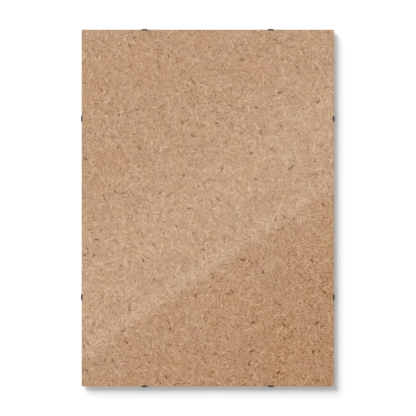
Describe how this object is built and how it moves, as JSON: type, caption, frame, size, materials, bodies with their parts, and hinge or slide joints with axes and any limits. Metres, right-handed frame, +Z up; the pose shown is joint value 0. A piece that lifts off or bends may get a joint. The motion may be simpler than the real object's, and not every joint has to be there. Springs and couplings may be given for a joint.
{
  "type": "clip frame",
  "caption": "Frameless clip frame for an A3 sheet: a clear glass pane over a brown hardboard back, held together by dark spring clips that hook over the edges.",
  "frame": {"origin": "the nail's seat: apex of the middle notch of the portrait hanger, in the plane of the hanger's rear face, which is the wall", "axes": "+X to the right seen from the front, +Y back into the wall, +Z up as it hangs in portrait"},
  "size_m": [0.2982, 0.0089, 0.4213],
  "materials": {
    "glass": "clear float glass, seamed edges",
    "hardboard": "raw brown hardboard, smooth face",
    "spring_steel": "blued spring steel",
    "hanger_steel": "bright zinc plate"
  },
  "bodies": {
    "panel": {"glass_pane": "glass", "backing_board": "hardboard", "hanger_portrait": "hanger_steel", "hanger_landscape": "hanger_steel"},
    "clip_top_left": {"clip_top_left": "spring_steel"},
    "clip_top_right": {"clip_top_right": "spring_steel"},
    "clip_bottom_left": {"clip_bottom_left": "spring_steel"},
    "clip_bottom_right": {"clip_bottom_right": "spring_steel"},
    "clip_left_upper": {"clip_left_upper": "spring_steel"},
    "clip_left_lower": {"clip_left_lower": "spring_steel"},
    "clip_right_upper": {"clip_right_upper": "spring_steel"},
    "clip_right_lower": {"clip_right_lower": "spring_steel"}
  },
  "joints": [
    {"name": "clip_top_left_unhook", "type": "hinge", "parent": "panel", "child": "clip_top_left", "pos_m": [-0.07425, -0.0087, 0.02405], "axis": [1, 0, 0], "range_deg": [0, 40], "stiffness_Nm_per_rad": 0.01, "springref_deg": -17.19},
    {"name": "clip_top_right_unhook", "type": "hinge", "parent": "panel", "child": "clip_top_right", "pos_m": [0.07425, -0.0087, 0.02405], "axis": [1, 0, 0], "range_deg": [0, 40], "stiffness_Nm_per_rad": 0.01, "springref_deg": -17.19},
    {"name": "clip_bottom_left_unhook", "type": "hinge", "parent": "panel", "child": "clip_bottom_left", "pos_m": [-0.07425, -0.0087, -0.39405], "axis": [-1, 0, 0], "range_deg": [0, 40], "stiffness_Nm_per_rad": 0.01, "springref_deg": -17.19},
    {"name": "clip_bottom_right_unhook", "type": "hinge", "parent": "panel", "child": "clip_bottom_right", "pos_m": [0.07425, -0.0087, -0.39405], "axis": [-1, 0, 0], "range_deg": [0, 40], "stiffness_Nm_per_rad": 0.01, "springref_deg": -17.19},
    {"name": "clip_left_upper_unhook", "type": "hinge", "parent": "panel", "child": "clip_left_upper", "pos_m": [-0.14755, -0.0087, -0.08], "axis": [0, 0, 1], "range_deg": [0, 40], "stiffness_Nm_per_rad": 0.01, "springref_deg": -17.19},
    {"name": "clip_left_lower_unhook", "type": "hinge", "parent": "panel", "child": "clip_left_lower", "pos_m": [-0.14755, -0.0087, -0.29], "axis": [0, 0, 1], "range_deg": [0, 40], "stiffness_Nm_per_rad": 0.01, "springref_deg": -17.19},
    {"name": "clip_right_upper_unhook", "type": "hinge", "parent": "panel", "child": "clip_right_upper", "pos_m": [0.14755, -0.0087, -0.08], "axis": [0, 0, -1], "range_deg": [0, 40], "stiffness_Nm_per_rad": 0.01, "springref_deg": -17.19},
    {"name": "clip_right_lower_unhook", "type": "hinge", "parent": "panel", "child": "clip_right_lower", "pos_m": [0.14755, -0.0087, -0.29], "axis": [0, 0, -1], "range_deg": [0, 40], "stiffness_Nm_per_rad": 0.01, "springref_deg": -17.19}
  ]
}
